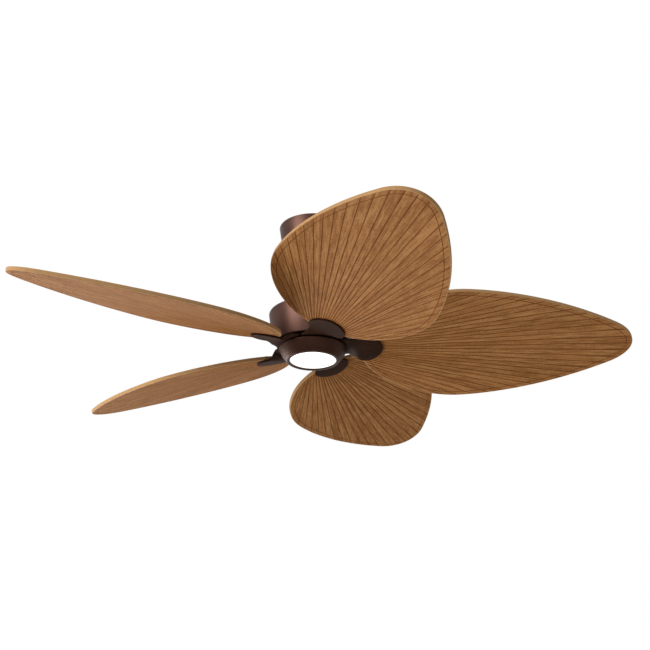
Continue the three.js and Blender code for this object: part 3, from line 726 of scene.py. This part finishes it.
@dataclass
class LeafBlades:
    """The five carved blades and the screws that hold them to their irons.

    A blade is made in its own plane: u out along it, v across it and w up through it.
    """

    plane: float
    root: float = 96.6 * MM
    length: float = 563.4 * MM
    shoulder: Pair = (620.3, 59.1)
    shoulder_slope: float = 32.1
    thickness: float = 7.5 * MM
    rounding: float = 1.2 * MM
    edge_strip: float = 1 * MM
    plain_edge: float = 0.5 * MM
    groove_half: float = 0.6 * MM
    groove_depth: float = 0.6 * MM
    groove_start: float = 0.6  # share of a rib's depth at its ends
    crown: float = 0.12 * MM
    pleat: float = 0.5 * MM
    pleat_fade: Pair = (100 * MM, 260 * MM)
    upper_share: float = 0.6
    ribs: int = 15
    cross_cuts: int = 20
    cut_drift: float = 1.5  # above 1, the cuts are closer near the root
    phase: float = 0.31  # shift of the wood's figure from blade to blade
    screws: tuple[Pair, ...] = ((0.111645, 0.02), (0.111645, -0.02), (0.1344, 0.0))

    def outline(self) -> list[Vector]:
        """Gives the leaf's outline, from the same curves as the solid.

        Returns:
            The outline's points.
        """
        slope = math.radians(self.shoulder_slope)
        u, v = self.shoulder

        def flank(far: float) -> Pair:
            """Gives a point on the straight run through the shoulder."""
            return u + far * math.cos(slope), v - far * math.sin(slope)

        return mirrored([
            (96.6, 0), (96.6, 93.3), (207.6, 164.4), (302.6, 164.4), (316.2, 164.4), flank(-189.5),
            self.shoulder, flank(39.7), (660, 13.4), (660, 0),
        ], 32)

    def carving(self, u: float, number: float, rim: float) -> float:
        """Gives how deep the face is carved at a point.

        Args:
            u: Place along the blade.
            number: The rib number there.
            rim: Distance from the blade's edge.

        Returns:
            The depth.
        """
        share = abs(number - round(number))
        field = smooth(self.rounding, RIBS.border, rim)
        groove = self.groove_depth * max(0.0, 1 - share * RIBS.space(u, number) / self.groove_half)
        groove *= self.groove_start + (1 - self.groove_start) * field
        crown = (self.crown + self.pleat * (1 - smooth(*self.pleat_fade, u))) * (1 - 2 * share) ** 2
        score = self.groove_depth * max(0.0, 1 - abs(rim - RIBS.border) / self.groove_half)
        return max(groove if rim > self.rounding + self.plain_edge else 0.0, crown * field, score)

    def cut(self, shape: Shape) -> None:
        """Cuts the edges that the carving needs: round the border, along the ribs and across them.

        Args:
            shape: The plain blade, with its rims rounded.
        """
        mesh = shape.mesh

        def broad() -> list[BMFace]:
            """Gives the two broad faces."""
            return sorted(mesh.faces, key=BMFace.calc_area)[-2:]

        band = RIBS.border - self.groove_half - self.rounding - self.edge_strip
        for step in (self.edge_strip, band, self.groove_half, self.groove_half):
            for face in broad():
                bmesh.ops.inset_region(mesh, faces=[face], thickness=step, use_even_offset=True)
        for half in range(-2 * self.ribs, 2 * self.ribs + 1):
            angle = math.atan(RIBS.slope(half / 2))
            normal = Vector((-math.sin(angle), math.cos(angle), 0))
            centre = Vector((RIBS.centre, 0, 0))
            sides = (0, self.groove_half, -self.groove_half) if half % 2 == 0 else (0,)
            for side in sides:
                shape.slice(centre + normal * side, normal)
        for i in range(1, self.cross_cuts):
            share = i / self.cross_cuts
            shape.slice((self.root + self.length * share**self.cut_drift, 0, 0), (1, 0, 0))

    def carved(self) -> Mesh:
        """Builds one blade in its own plane.

        Returns:
            The blade's mesh, with its leaf and rib attributes.
        """
        outline = self.outline()
        shape = Shape().slab(outline, self.thickness).soften(self.rounding, 3, 60)
        self.cut(shape)
        mesh = shape.mesh
        parts = 8
        edge = KDTree(parts * len(outline))
        for i, point in enumerate(outline):
            for part in range(parts):
                edge.insert(point.lerp(outline[i - 1], part / parts), parts * i + part)
        edge.balance()
        leaf = mesh.verts.layers.float_vector.new("leaf")
        rib = mesh.verts.layers.float_vector.new("rib")
        for vert in mesh.verts:
            u, v, w = vert.co
            number = RIBS.number(u, v)
            rim = edge.find((u, v, 0))[2]
            vert[leaf] = (u, v, w)
            vert[rib] = (number, rim, 0)
            if w < SAME:
                vert.co.z = self.carving(u, number, rim)
            elif w > self.thickness - SAME:
                vert.co.z = self.thickness - self.upper_share * self.carving(u, number, rim)
        bmesh.ops.triangulate(mesh, faces=mesh.faces[:])
        return shape.data("leaf_master", 28)

    def build(self) -> None:
        """Builds the blades and their screws."""
        master = self.carved()
        for number in range(1, BLADES + 1):
            mesh = master.copy()
            mesh.name = f"blade_{number}_carved"
            for item in mesh.attributes["leaf"].data:
                item.vector[2] += self.phase * number
            level = spoke(number) @ Matrix.Translation((0, 0, self.plane))
            place = level @ Matrix.Rotation(-PITCH, 4, "X")
            mesh.transform(place)
            fit(mesh, LEAF, Body.ROTOR, f"blade_{number}")
            for i, (u, v) in enumerate(self.screws, 1):
                spot = Matrix.Translation((u, v, self.thickness + SEAT))
                CrossScrew(height=2 * MM).drive(place @ spot, Body.ROTOR, f"blade_screw_{number}_{i}")
        bpy.data.meshes.remove(master)


@dataclass
class BladeIrons:
    """The five dark irons: a strap under the rotor, a broad twisted neck and a pad under the blade."""

    underside: float
    thickness: float = 4 * MM
    thinning: float = 0.25
    rounding: float = 1.1 * MM
    twist: Pair = (71 * MM, 97 * MM)
    step: float = 1.3 * MM
    step_at: float = 78 * MM
    step_half: float = 0.4 * MM
    first_bend: float = 64 * MM
    bend_step: float = 1.8 * MM
    bends: int = 20
    rows: tuple[float, ...] = (-24 * MM, -12 * MM, 0, 12 * MM, 24 * MM)
    screw_radii: Pair = (43 * MM, 57 * MM)

    def outline(self) -> list[Vector]:
        """Gives the iron's flat outline.

        Returns:
            The outline's points.
        """
        return mirrored([
            (34, 0), (34, 3), (34, 6), (34, 9), (34, 11.5), (35.5, 13), (38, 13), (52, 13), (57, 14),
            (57, 22), (57, 30), (57, 41.6), (60, 39.8), (66, 37.6), (78, 34), (88, 31.3), (97, 29.5),
            (97, 38.5), (108, 38.5), (129.5, 38.5), (145.5, 16), (145.5, 0),
        ], 12)

    def bent(self, u: float, v: float, w: float) -> tuple[float, float, float]:
        """Moves a point of the flat iron to its place under the blade.

        Args:
            u: Place along the iron.
            v: Place across it.
            w: Height below the rotor, from minus the thickness to 0.

        Returns:
            The point's place, with the rotor's underside at height 0.
        """
        if w < -self.thickness / 2:
            w -= self.step * smooth(self.step_at - self.step_half, self.step_at + self.step_half, u)
        t = smooth(*self.twist, u)
        turn = PITCH * t
        w *= 1 - self.thinning * t
        w -= SEAT * t
        return (u, v * math.cos(turn) + w * math.sin(turn),
                w * math.cos(turn) - v * math.sin(turn) - BLADE_DROP * t)

    def iron(self) -> Shape:
        """Builds one iron, out along X with the rotor's underside at height 0.

        Returns:
            The iron.
        """
        shape = Shape().slab(self.outline(), self.thickness).soften(self.rounding, 3, 60)
        bends = [self.first_bend + self.bend_step * i for i in range(self.bends)]
        for along in (*bends, self.step_at - self.step_half, self.step_at + self.step_half):
            shape.slice((along, 0, 0), (1, 0, 0))
        for across in self.rows:
            shape.slice((0, across, 0), (0, 1, 0))
        for vert in shape.mesh.verts:
            u, v, w = vert.co
            vert.co = self.bent(u, v, w - self.thickness)
        return shape

    def build(self) -> None:
        """Builds the irons and the screws that hold them to the rotor."""
        for number in range(1, BLADES + 1):
            place = spoke(number) @ Matrix.Translation((0, 0, self.underside))
            fit(self.iron().move(place).data(f"blade_iron_{number}_spade"), DARK_BRONZE, Body.ROTOR,
                f"blade_iron_{number}")
            for i, radius in enumerate(self.screw_radii, 1):
                spot = place @ Matrix.Translation((radius, 0, -self.thickness - SEAT))
                turned = spot @ Matrix.Rotation(math.pi, 4, "X")
                CrossScrew(depth=7 * MM).drive(turned, Body.ROTOR, f"iron_screw_{number}_{i}")


@dataclass
class CeilingMount:
    """Canopy, its screws, and the bracket and receiver inside it."""

    radius: float = 73.7 * MM
    height: float = 66 * MM
    taper: float = 8.5
    corner: float = 10 * MM
    wall: float = 1.5 * MM
    hole: float = 24 * MM
    screw_drop: float = 12 * MM

    def radius_at(self, drop: float) -> float:
        """Gives the canopy's outer radius at a drop below the ceiling."""
        return self.radius - drop * math.tan(math.radians(self.taper))

    def canopy(self) -> None:
        """Builds the tapered cup against the ceiling."""
        knee = self.height - self.corner
        centre = (self.radius_at(knee) - self.corner, -knee)
        inner = self.corner - self.wall
        profile = [
            (self.radius, 0), *arc(centre, self.corner, -self.taper, -90, 12), (self.hole, -self.height),
            (self.hole, self.wall - self.height), *arc(centre, inner, -90, -self.taper, 12),
            (self.radius - self.wall, 0),
        ]
        cup = Shape().spin(profile, 144).soften()
        fit(cup.data("canopy_cup"), BRONZE, Body.CEILING, "canopy")

    def build(self) -> None:
        """Builds the canopy and its screws, and coats what is inside."""
        self.canopy()
        screw = CrossScrew(depth=11 * MM)
        seat = self.radius_at(self.screw_drop - screw.radius) + SEAT
        for i, side in enumerate((1, -1), 1):
            spot = Matrix.Translation((0, side * seat, -self.screw_drop))
            turn = Matrix.Rotation(-side * math.pi / 2, 4, "X")
            screw.drive(spot @ turn, Body.CEILING, f"canopy_screw_{i}")
        dress(ZINC, "hanger_bracket")
        dress(BLACK_PLASTIC, "receiver_box")


@dataclass
class HangingRod:
    """Ball joint, downrod and the dome over the joint with the motor."""

    rod_radius: float = 10.7 * MM
    rod_wall: float = 2.7 * MM
    rod_top: float = -31 * MM
    rod_end: float = -188 * MM
    dome_top: float = -164.5 * MM
    dome_height: float = 40 * MM
    dome_radius: float = 36 * MM
    dome_bulge: float = 6 * MM
    dome_wall: float = 1.5 * MM
    dome_hole: float = 11 * MM
    dome_neck: float = 4 * MM

    def rod(self) -> None:
        """Builds the tube."""
        inner = self.rod_radius - self.rod_wall
        rod = Shape().spin([
            (inner, self.rod_end), (self.rod_radius, self.rod_end), (self.rod_radius, self.rod_top),
            (inner, self.rod_top)], 64).soften(0.4 * MM, 2)
        fit(rod.data("downrod_tube"), DARK_BRONZE, Body.FAN, "downrod")

    def dome(self) -> None:
        """Builds the dome over the joint with the motor."""
        neck = self.dome_hole + self.dome_neck
        side = [(bulged(neck, self.dome_radius, self.dome_bulge, s), self.dome_top - self.dome_height * s)
                for s in (i / 16 for i in range(17))]
        hollow = [(radius - self.dome_wall, height) for radius, height in reversed(side[1:])]
        low = self.dome_top - self.dome_wall
        dome = Shape().spin([
            *side, *hollow, (neck - self.dome_wall, low), (self.dome_hole, low),
            (self.dome_hole, self.dome_top)], 96).soften()
        fit(dome.data("coupling_dome"), BRONZE, Body.FAN, "coupling_cover")

    def build(self) -> None:
        """Builds the rod and the dome, and coats the joint's parts."""
        self.rod()
        self.dome()
        dress(NYLON, "ball_seat", "hanger_ball")
        dress(ZINC, "ball_pin", "yoke", "yoke_pin")


@dataclass
class Motor:
    """Motor cover, and the motor inside it."""

    rim: float
    top: float = -204.5 * MM
    top_radius: float = 93 * MM
    rim_radius: float = 78 * MM
    bulge: float = 4 * MM
    corner: float = 2.5 * MM
    wall: float = 1.5 * MM
    hole: float = 16.8 * MM
    bore: float = 16.3 * MM
    hub: float = 20 * MM
    hub_height: float = 9.5 * MM
    shell_wall: float = 3.5 * MM
    shell_floor: float = 6 * MM

    def cover(self) -> None:
        """Builds the bulged cover over the motor."""
        shoulder = self.top - self.corner
        shares = [i / 20 for i in range(1, 21)]
        side = [(bulged(self.top_radius, self.rim_radius, self.bulge, s),
                 shoulder + (self.rim - shoulder) * s) for s in shares]
        inside = [(radius - self.wall, height) for radius, height in reversed(side)]
        under = self.top - self.wall
        cover = Shape().spin([
            (self.hole, self.top), *arc((self.top_radius - self.corner, shoulder), self.corner, 90, 0, 6),
            *side, *inside, (self.top_radius - self.wall, shoulder), (self.top_radius - self.corner, under),
            (self.hole, under)], 160).soften()
        fit(cover.data("motor_cover_bell"), BRONZE, Body.FAN, "motor_cover")

    def shell(self) -> None:
        """Builds the turning shell round the motor."""
        low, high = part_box("rotor_shell")
        inner = high.x - self.shell_wall
        shell = Shape().spin([
            (self.bore, low.z), (high.x, low.z), (high.x, high.z), (self.bore, high.z),
            (self.bore, high.z - self.hub_height), (self.hub, high.z - self.hub_height),
            (self.hub, high.z - self.shell_wall), (inner, high.z - self.shell_wall),
            (inner, low.z + self.shell_floor), (self.hub, low.z + self.shell_floor),
            (self.hub, low.z + self.hub_height), (self.bore, low.z + self.hub_height),
        ], 96).soften(0.8 * MM)
        fit(shell.data("rotor_bell"), DARK_BRONZE, Body.ROTOR, "rotor_shell")

    def build(self) -> None:
        """Builds the cover and the shell, and coats the rest of the motor."""
        self.cover()
        self.shell()
        dress(GROUND_STEEL, "motor_shaft", "upper_bearing", "lower_bearing")
        dress(CORE_STEEL, "stator_core")
        dress(FERRITE, "magnet_ring")


@dataclass
class LightKit:
    """Bronze pan under the blades with its ring and its opal lens; pan and ring take a darker bronze as
    painted shade.
    """

    plate_underside: float = -286.5 * MM
    top: float = -284 * MM
    height: float = 25.9 * MM
    top_radius: float = 71 * MM
    bottom_radius: float = 54.5 * MM
    bulge: float = 3.1 * MM
    wall: float = 1.5 * MM
    ledge: float = 8.5 * MM
    apart: float = 0.4 * MM
    bezel_height: float = 6.6 * MM
    lip: float = 2.8 * MM
    opening: float = 48.55 * MM
    overlap: float = 2.6 * MM
    lens_wall: float = 3 * MM
    lens_swell: float = 1.6 * MM

    def radius_at(self, height: float) -> float:
        """Gives the pan's outer radius at a height."""
        share = (self.top - height) / self.height
        return bulged(self.top_radius, self.bottom_radius, self.bulge, share)

    def pan(self) -> None:
        """Builds the bronze pan, with the ledge that hangs on the light's plate."""
        bezel_top = self.top - self.height + self.bezel_height
        under = self.plate_underside - self.wall
        heights = [self.top + (bezel_top - self.top) * i / 14 for i in range(15)]
        outside = [(self.radius_at(h), h) for h in heights]
        inner_low = [(radius - self.wall, h) for radius, h in reversed(outside) if h < under - self.apart]
        held = self.radius_at(self.plate_underside) - self.wall
        ledge = held - self.ledge
        pan = Shape().spin([
            *outside, *inner_low, (self.radius_at(under) - self.wall, under), (ledge, under),
            (ledge, self.plate_underside), (held, self.plate_underside),
            (self.top_radius - self.wall, self.top)], 144).soften(0.25 * MM, 2)
        # The pan is coated with the darker bronze copy, which paints in its shade.
        fit(pan.data("light_pan"), SHADED_PAN_BRONZE, Body.FAN, "light_housing")

    def bezel(self) -> None:
        """Builds the ring at the pan's lower edge, dark with the pan's painted shade."""
        end = self.top - self.height
        top = end + self.bezel_height - SEAT
        recess = self.opening + self.overlap + SEAT
        side = [(self.radius_at(end + (top - end) * i / 6), end + (top - end) * i / 6) for i in range(7)]
        ring = Shape().spin([
            (self.opening, end), *side, (recess, top), (recess, end + self.lip),
            (self.opening, end + self.lip)], 144).soften(0.25 * MM, 2)
        fit(ring.data("bezel_ring"), SHADED_RING_BRONZE, Body.FAN, "lens_bezel")

    def lens(self) -> None:
        """Builds the lens, which swells a little below its seat in the ring."""
        low = self.top - self.height + self.lip
        edge = self.opening + self.overlap
        swell = [(self.opening * i / 12, low - self.lens_swell * (1 - (i / 12) ** 2)) for i in range(12)]
        lens = Shape().spin([
            *swell, (self.opening, low), (edge, low), (edge, low + self.lens_wall),
            (0, low + self.lens_wall)], 96).soften(0.3 * MM, 2, 60)
        fit(lens.data("opal_lens"), OPAL, Body.FAN, "lens")

    def build(self) -> None:
        """Builds the light's visible parts and coats the rest."""
        self.pan()
        self.bezel()
        self.lens()
        dress(ZINC, "light_plate", "shaft_nut")
        dress(SOLDER_MASK, "led_board")


@dataclass
class Lamp:
    """A soft square lamp that points at the fan."""

    name: str
    towards: tuple[float, float, float]
    distance: float
    size: float
    power: float
    on_gloss: bool = True
    on_matte: bool = True

    def build(self, aim: Vector) -> None:
        """Hangs the lamp.

        Args:
            aim: The point that it lights.
        """
        light = bpy.data.lights.new(self.name, "AREA")
        light.shape = "SQUARE"
        light.size = self.size
        light.energy = self.power
        lamp = bpy.data.objects.new(self.name, light)
        lamp.location = aim + Vector(self.towards).normalized() * self.distance
        lamp.rotation_euler = (aim - lamp.location).to_track_quat("-Z", "Y").to_euler()
        lamp.visible_camera = False
        lamp.visible_glossy = self.on_gloss
        lamp.visible_diffuse = self.on_matte
        bpy.context.scene.collection.objects.link(lamp)


@dataclass
class Studio:
    """Camera, lamps, white surroundings and a pale floor far below the fan."""

    eye: tuple[float, float, float] = (0.1291, -2.2808, -1.2416)
    yaw: float = -2.612
    rise: float = 23.933
    lens: float = 65.73
    film: float = 36
    sight: Pair = (0.05, 60)
    aim: tuple[float, float, float] = (0, 0, -0.28)
    floor: float = -7.2
    floor_half: float = 30
    floor_tones: tuple[Colour, Colour] = ((240, 240, 239), (243, 243, 242))
    floor_glow: Pair = (0.4, 0.9)
    floor_fade: Pair = (9, 27)
    ambient: float = 0.45
    lamps: tuple[Lamp, ...] = (
        Lamp("key", (-0.77, 0.2, -0.61), 7.0, 4.6, 412, on_gloss=False),
        Lamp("sheen", (-0.56, 0.7, -0.42), 3.6, 2.4, 190, on_matte=False),
        Lamp("side", (-0.72, -0.69, 0.24), 3.2, 1.9, 84),
    )

    def camera(self) -> None:
        """Sets the camera at the photograph's place."""
        data = bpy.data.cameras.new("camera")
        data.lens = self.lens
        data.sensor_width = self.film
        data.clip_start, data.clip_end = self.sight
        camera = bpy.data.objects.new("camera", data)
        camera.location = self.eye
        camera.rotation_euler = (math.radians(90 + self.rise), 0, -math.radians(self.yaw))
        bpy.context.scene.collection.objects.link(camera)
        bpy.context.scene.camera = camera

    def surroundings(self) -> None:
        """Makes the world white to the eye and in reflections, and dimmer as a lamp."""
        world = bpy.data.worlds.new("studio")
        bpy.context.scene.world = world
        world.use_nodes = True
        nodes = Nodes(world.node_tree)
        nodes.tree.nodes.clear()
        dim, full = (
            nodes.add("Background", {0: (1, 1, 1, 1), 1: strength}).outputs[0]
            for strength in (self.ambient, 1.0))
        mix = nodes.add("MixShader", {0: nodes.seen(), 1: dim, 2: full})
        nodes.add("OutputWorld", {0: mix.outputs[0]})

    def ground(self) -> None:
        """Lays the pale floor, which fades into the white surroundings with distance."""
        shape = Shape()
        bmesh.ops.create_grid(shape.mesh, x_segments=4, y_segments=4, size=self.floor_half)
        shape.move(Matrix.Translation((0, 0, self.floor)))
        floor = bpy.data.objects.new("floor", shape.data("floor"))
        shader = Shader("pale_floor")
        at = shader.place()
        colour = shader.mix(shader.ease(shader.noise(at, 0.4), 0.3, 0.7), *map(linear, self.floor_tones))
        far = shader.add("VectorMath", {0: at}, operation="LENGTH").outputs["Value"]
        glow = shader.ease(far, *self.floor_fade, *self.floor_glow)
        floor.data.materials.append(shader.finish(
            base_color=colour, roughness=0.8, emission_color=(1, 1, 1, 1),
            emission_strength=shader.math("MULTIPLY", shader.seen(), glow)))
        bpy.context.scene.collection.objects.link(floor)

    def build(self) -> None:
        """Sets up the whole studio."""
        bpy.context.scene.view_settings.view_transform = "Standard"
        self.camera()
        self.surroundings()
        self.ground()
        for lamp in self.lamps:
            lamp.build(Vector(self.aim))


def main() -> None:
    """Builds the fan's looks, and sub-assembly by sub-assembly."""
    logging.basicConfig(level=logging.INFO, format="%(name)s %(message)s")
    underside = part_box("rotor_shell")[0].z
    Studio().build()
    CeilingMount().build()
    HangingRod().build()
    Motor(rim=underside + COVER_LIFT).build()
    LeafBlades(plane=underside - BLADE_DROP).build()
    BladeIrons(underside=underside).build()
    LightKit().build()


if __name__ == "__main__":
    main()
